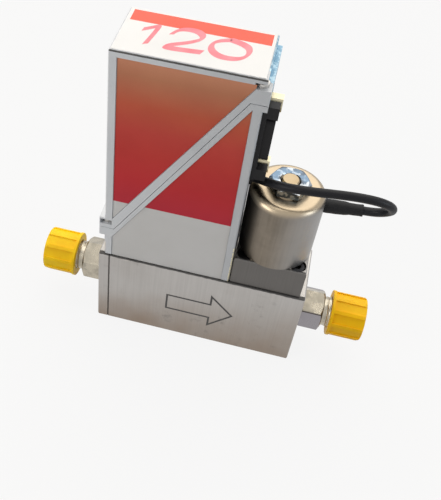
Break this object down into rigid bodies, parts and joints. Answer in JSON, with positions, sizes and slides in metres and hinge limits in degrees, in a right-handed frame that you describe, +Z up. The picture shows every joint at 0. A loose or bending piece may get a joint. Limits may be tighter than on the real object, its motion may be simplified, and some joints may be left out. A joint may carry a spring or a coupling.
{
  "type": "mass flow controller",
  "caption": "Thermal mass flow controller: steel flow block with capped tube fittings, tall housing split on a diagonal, and a solenoid valve on a looped lead.",
  "frame": {"origin": "bottom centre of the base block, under the flow axis", "axes": "+X along the flow from inlet to outlet, -Y the labelled front, +Z up"},
  "size_m": [0.1258, 0.026, 0.1258],
  "materials": {
    "steel": "ground stainless steel",
    "satin_steel": "satin turned stainless steel",
    "fitting_steel": "bright turned stainless steel",
    "bright_steel": "polished",
    "fastener_steel": "satin",
    "dark_steel": "blackened",
    "zinc_steel": "yellowish zinc plating",
    "seal_rubber": "matte",
    "black_rubber": "satin",
    "black_plastic": "matte",
    "yellow_plastic": "semi-gloss moulded",
    "grey_housing": "silver-grey satin",
    "grey_plastic": "matte",
    "orange_label": "printed film",
    "white_label": "printed film",
    "copper_wire": "enamelled copper",
    "gold_contact": "gold plated",
    "green_board": "solder mask",
    "aluminium_shell": "satin"
  },
  "bodies": {
    "controller": {"base_block": "steel", "inlet_end_plate": "steel", "end_plate_screws": "fastener_steel", "end_plate_seal": "seal_rubber", "laminar_flow_element": "steel", "inlet_fitting": "fitting_steel", "outlet_fitting": "fitting_steel", "fitting_seals": "seal_rubber", "valve_block": "steel", "valve_block_seals": "seal_rubber", "valve_block_screws": "dark_steel", "valve_orifice": "steel", "valve_sleeve": "fitting_steel", "sleeve_seal": "seal_rubber", "plunger_spring": "fastener_steel", "coil_can": "satin_steel", "coil_plate": "steel", "coil_bobbin": "black_plastic", "coil_winding": "copper_wire", "nut_washer": "fastener_steel", "valve_nut": "bright_steel", "upper_cover": "grey_housing", "lower_cover": "grey_housing", "cover_screws": "fastener_steel", "floor_screws": "fastener_steel", "upper_label": "orange_label", "lower_label": "white_label", "top_label": "white_label", "sensor_base": "steel", "sensor_seals": "seal_rubber", "sensor_screws": "fastener_steel", "sensor_tube": "steel", "sensor_windings": "copper_wire", "sensor_cover": "grey_plastic", "circuit_board": "green_board", "board_chips": "black_plastic", "board_capacitors": "aluminium_shell", "connector_body": "black_plastic", "connector_pins": "gold_contact", "jackscrews": "zinc_steel", "lead_grommet": "black_rubber", "lead_boot": "black_rubber", "valve_lead": "black_rubber"},
    "valve_plunger": {"plunger": "steel", "plunger_seal": "seal_rubber"},
    "inlet_cap": {"inlet_cap": "yellow_plastic"},
    "outlet_cap": {"outlet_cap": "yellow_plastic"}
  },
  "joints": [
    {"name": "plunger_slide", "type": "slide", "parent": "controller", "child": "valve_plunger", "axis": [0, 0, 1], "range_m": [0, 0.0004], "stiffness_N_per_m": 400, "springref_m": -0.004, "deforming": ["plunger_spring"]},
    {"name": "inlet_cap_slide", "type": "slide", "parent": "controller", "child": "inlet_cap", "axis": [-1, 0, 0], "range_m": [0, 0.03]},
    {"name": "outlet_cap_slide", "type": "slide", "parent": "controller", "child": "outlet_cap", "axis": [1, 0, 0], "range_m": [0, 0.03]}
  ]
}
